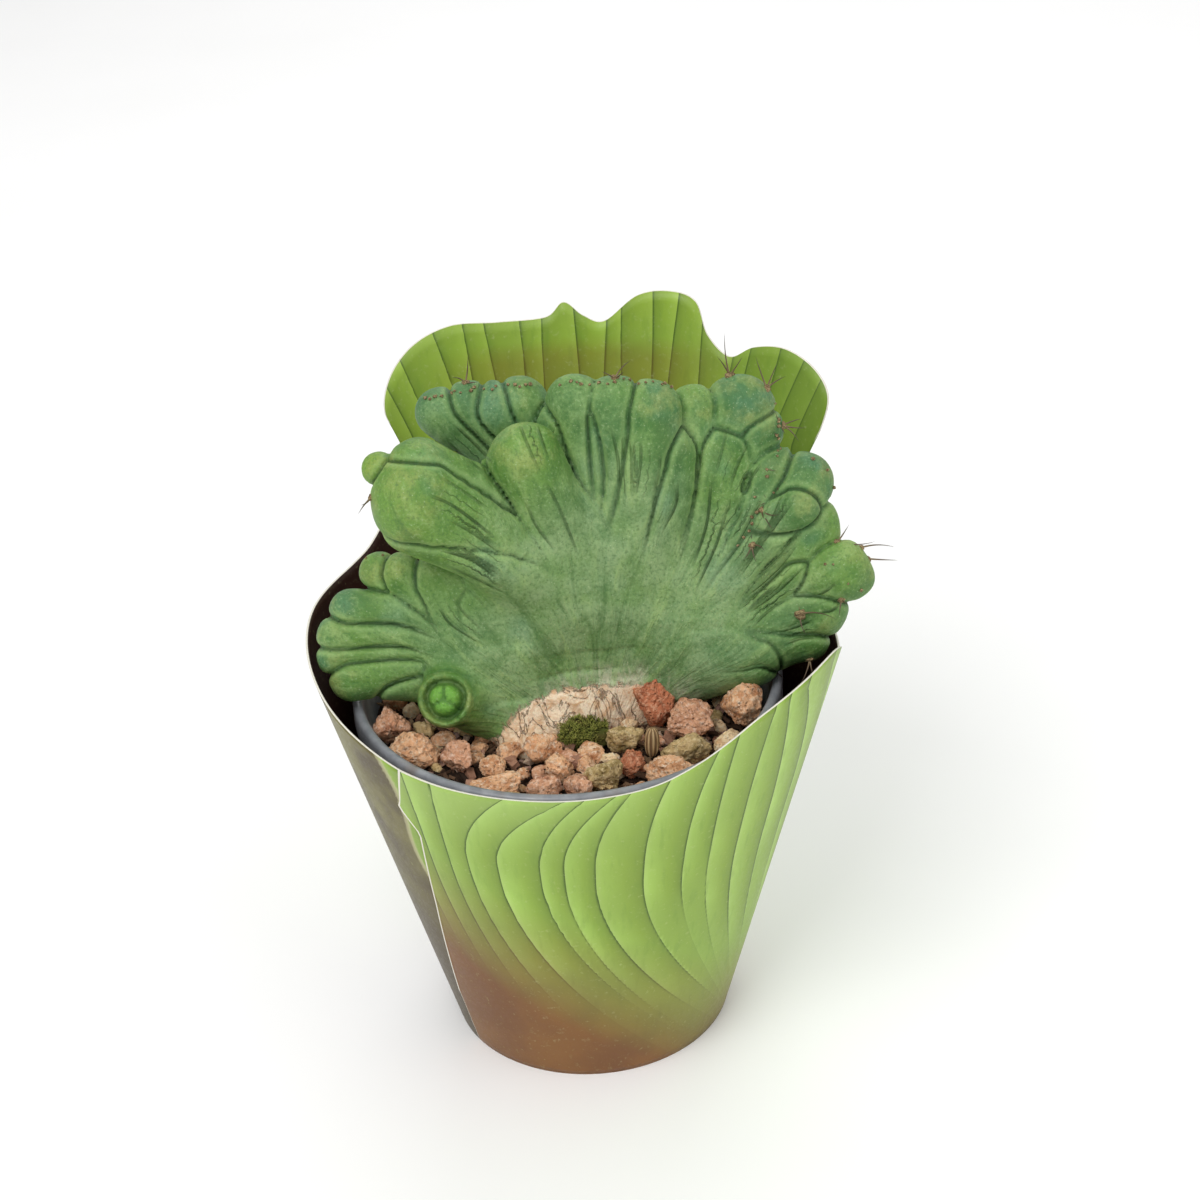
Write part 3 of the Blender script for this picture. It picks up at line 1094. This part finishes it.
def mossPaint():
    p = Paint("mossGreen")
    spot = p.place()
    patch = p.noise(spot, 0.3, 4.0)
    fine = p.noise(spot, 2.2, 4.0)
    base = p.ramp(p.attribute("tone"), [(0.0, "3d421b"), (0.45, "6a7033"),
                                        (0.8, "949848"), (1.0, "c2bc6c")])
    base = p.mix(patch.fit(0.45, 0.65) * 0.5, base, "5c4a28")
    base = p.mix(fine.fit(0.55, 0.8) * 0.3, base, "a89a60")
    return p.finish(base, 0.9, fine, 0.2 * mm, specular=0.2)


def makeMoss(s):
    rng = np.random.default_rng(s["seed"])
    low, high = boxOf("moss_clump")
    middle, half = (low + high) / 2, (high - low) / 2
    form, sides = stoneForm(4, rng, stoneShape)
    points, faces = [form * half * 0.93 + middle], [tuple(f) for f in sides]
    tones, count = [np.full(len(form), 0.12)], len(form)
    upper = np.where(form[:, 2] > -0.25)[0]
    for spot in rng.choice(upper, s["tufts"]):
        root = form[spot] * half * 0.93 + middle
        for _ in range(s["blades"]):
            aim = form[spot] + rng.normal(size=3) * 0.5 + np.array([0, 0, 0.4])
            aim = unit(aim)
            side = np.cross(aim, rng.normal(size=3))
            side *= 0.16 / np.linalg.norm(side)
            over = np.cross(aim, side)
            length = rng.uniform(*s["length"])
            belly = root + aim * length * 0.45
            points.append(np.array([root, belly + side, belly - side * 0.5 + over, belly - side * 0.5 - over,
                                    root + aim * length]))
            for a, b in ((1, 2), (2, 3), (3, 1)):
                faces += [(count, count + b, count + a), (count + 4, count + a, count + b)]
            tone = rng.uniform(0.25, 0.8)
            tones.append(np.array([0.2, tone, tone, tone, min(1.0, tone + 0.25)]))
            count += 5
    piece = makeMesh("moss_tuft", np.concatenate(points) * mm, faces, [mossPaint()])
    storeValues(piece, "tone", np.concatenate(tones))
    return piece


husk = {"ribs": 9, "rings": 28, "round": 54, "lean": 0.16}


def huskPaint():
    p = Paint("huskShell")
    fibre = p.noise(p.place((1600, 1600, 180)), 1.1, 5.0)
    groove = p.attribute("rib")
    base = p.mix(fibre.fit(0.3, 0.7), "d3b98c", "a58357")
    base = p.mix(groove.fit(0.2, 1.0, 1.0, 0.0) * 0.8, base, "5e4229")
    return p.finish(base, 0.75, fibre, 0.12 * mm, specular=0.3)


def makeHusk(s):
    low, high = boxOf("seed_husk")
    middle, half = (low + high) / 2, (high - low) / 2
    points, ribs = [], []
    for r in range(s["rings"]):
        t = (r + 0.5) / s["rings"] * 2 - 1
        swell = (1 - abs(t) ** 2.6) ** 0.5
        for i in range(s["round"]):
            a = 2 * math.pi * i / s["round"]
            rib = 0.5 + 0.5 * math.cos(s["ribs"] * a)
            radius = swell * (0.86 + 0.14 * rib ** 0.6)
            points.append((middle[0] + half[0] * radius * math.cos(a) + s["lean"] * t,
                           middle[1] + half[1] * radius * math.sin(a), middle[2] + half[2] * t))
            ribs.append(rib)
    faces = tubeSides(s["rings"], s["round"]) + tubeCaps(s["rings"], s["round"])
    piece = makeMesh("husk_shell", np.array(points) * mm, faces, [huskPaint()])
    storeValues(piece, "rib", ribs)
    return piece


settle(makeMoss(moss), "moss", "moss_clump")
settle(makeHusk(husk), "husk", "seed_husk")
print("moss and husk done")


# spine clusters
# Each woolly pad with its spines, numbered as the CAD nodes: place and pad radius in mm, and the
# ends of the spines measured from the pad.
clusters = [
    ((40, 14, 167.4), 1.7, [(-1, -1, 12), (-3, -1, 6), (3, -2, 6)]),
    ((49, 12, 165.2), 1.5, [(-3, 0, 8), (2, 0, 6), (4, -1, 3)]),
    ((52.5, 11, 155.3), 1.5, [(5, 0, -1), (4, -1, 2), (3, -3, -3)]),
    ((47, 0.6, 138), 1.4, [(3, -5, 2), (1, -5, -2), (-1, -5, 1)]),
    ((43, -0.8, 131), 1.4, [(1, -5, -3), (3, -5, 0), (-2, -5, -2)]),
    ((63.5, -1, 128.8), 1.3, [(9, -1, 1), (3, 1, 5)]),
    ((68, -1, 126.5), 1.2, [(9, -2, 2)]),
    ((69, -1, 123.3), 1.2, [(9, -1, 1)]),
    ((64, -5, 117.6), 1.5, [(1, -5, 0), (-1, -5, -3)]),
    ((54, -7, 114), 1.9, [(8, -7, 2), (-2, -4, 2), (1, -5, -3)]),
    ((56, -9.7, 102), 1.4, [(-3, -4, -4), (1, -3, -4)]),
    ((47, -3.1, 99), 1.3, [(3, -4, -3), (-1, -5, -4)]),
    ((13, 7, 172), 1.5, [(-3, -2, 3), (2, -3, 3), (4, 1, 4)]),
    ((-22, 15, 168.2), 1.4, [(-3, -1, 3), (1, 0, 8), (3, -2, 2)]),
    ((-44.5, -11, 154), 1.4, [(-3, -4, -2), (-2, -5, 1)]),
]
# Rows of small scars and short spines along the growing edges: (from, to, count, spine length).
scarRows = [
    ((53, 10, 161), (50, 7, 148), 9, 2.0),
    ((50, 6, 146), (42, 0, 130), 13, 2.6),
    ((-33, 12, 168), (-6, 12, 171), 17, 0.7),
    ((1, 6, 172), (27, 6, 171), 16, 0.8),
    ((58, 4, 149), (64, 3, 142), 3, 0.7),
    ((-50, 4, 131), (-30, 0, 133), 4, 0.7),
    ((60, -5, 127), (68, -5, 120), 4, 1.6),
]
spineLook = {"pad": 0.8, "rings": 9, "sides": 8, "thick": 0.24, "bow": 0.12, "hairs": 26, "seed": 33}


def spinePaint():
    p = Paint("spineHorn")
    spot = p.place()
    along = p.attribute("along")
    band = p.noise(spot, 1.2, 3.0)
    base = p.ramp(along, [(0.0, "8d7a58"), (0.35, "5c4b38"), (0.75, "3d322a"),
                          (1.0, "28211d")])
    base = p.mix(band * 0.15, base, "a3835f")
    return p.finish(base, 0.45, band, 0.05 * mm, specular=0.5)


def woolPaint():
    p = Paint("areoleWool")
    spot = p.place()
    fluff = p.noise(spot, 2.6, 5.0, 0.7)
    base = p.mix(fluff.fit(0.35, 0.65), "b09c74", "5e4a34")
    return p.finish(base, 0.95, fluff, 0.35 * mm, specular=0.15)


spineMaterials = [woolPaint(), spinePaint()]


class Growth:
    # gathers pads and spines into one mesh
    def __init__(self):
        self.points, self.faces, self.slots, self.along = [], [], [], []

    def cone(self, root, end, thick, rng, slot=1):
        s = spineLook
        root, end = np.array(root, float), np.array(end, float)
        length = np.linalg.norm(end - root)
        aim = (end - root) / length
        side = unit(np.cross(aim, (0.3, 0.5, 0.81)))
        over = np.cross(aim, side)
        bow = over * s["bow"] * length * rng.uniform(-1, 1)
        first = len(self.points)
        rings = s["rings"] if slot else 3
        for r in range(rings):
            t = r / rings
            middle = root + aim * length * t + bow * 4 * t * (1 - t)
            for i in range(s["sides"]):
                a = 2 * math.pi * i / s["sides"]
                reach = thick * (1 - t) ** 0.75
                self.points.append(middle + reach * (side * math.cos(a) + over * math.sin(a)))
                self.along.append(t)
        self.points.append(end)
        self.along.append(1.0)
        tip = len(self.points) - 1
        n = s["sides"]
        self.faces += tubeSides(rings, n, first)
        top = first + (rings - 1) * n
        self.faces += [(top + i, top + (i + 1) % n, tip) for i in range(n)]
        self.faces.append(tuple(first + i for i in reversed(range(n))))
        self.slots += [slot] * (len(self.faces) - len(self.slots))

    def pad(self, place, radius, outward, rng):
        form, sides = stoneForm(3, rng, stoneShape)
        first = len(self.points)
        self.points += list(form * radius * (0.9, 0.9, 0.8) + place)
        self.along += [0.0] * len(form)
        self.faces += [tuple(f + first) for f in sides]
        self.slots += [0] * len(sides)
        for _ in range(spineLook["hairs"] if radius > 1 else 6):
            aim = outward + rng.normal(size=3) * 0.6
            aim = unit(aim)
            self.cone(place + aim * radius * 0.6, place + aim * radius * rng.uniform(1.1, 1.7), 0.09, rng, 0)

    def made(self, name):
        piece = makeMesh(name, np.array(self.points) * mm, self.faces, spineMaterials, faceSlots=self.slots)
        storeValues(piece, "along", self.along)
        return piece


def onSkin(place):
    # the nearest place on the cactus and the way its skin faces there, in mm
    found, spot, facing, _ = cactus.closest_point_on_mesh(Vector(place) * mm)
    return np.array(spot) / mm, np.array(facing)


def makeSpines():
    rng = np.random.default_rng(spineLook["seed"])
    for number, (at, radius, ends) in enumerate(clusters, 1):
        spot, facing = onSkin(at)
        growth = Growth()
        growth.pad(spot + facing * 0.2, radius * spineLook["pad"], facing, rng)
        for end in ends:
            growth.cone(spot, np.array(at) + np.array(end), spineLook["thick"], rng)
        for _ in range(4):
            aim = facing + rng.normal(size=3) * 0.55
            growth.cone(spot, spot + unit(aim) * rng.uniform(1.6, 3.0), 0.2, rng)
        settle(growth.made(f"spines_{number:02d}"), "spine_wool", f"spine_cluster_{number:02d}")
    growth = Growth()
    for start, stop, count, length in scarRows:
        for share in np.linspace(0, 1, count):
            wander = rng.normal(size=3) * 0.5
            spot, facing = onSkin(np.array(start) * (1 - share) + np.array(stop) * share + wander)
            growth.pad(spot - facing * 0.2, rng.uniform(0.3, 0.6), facing, rng)
            for _ in range(2 if length < 1 else 4):
                aim = facing + rng.normal(size=3) * 0.5
                reach = length * rng.uniform(0.7, 1.3)
                growth.cone(spot, spot + unit(aim) * reach, 0.13, rng)
    settle(growth.made("edge_scars"), "spine_wool")


makeSpines()
print("spines done")
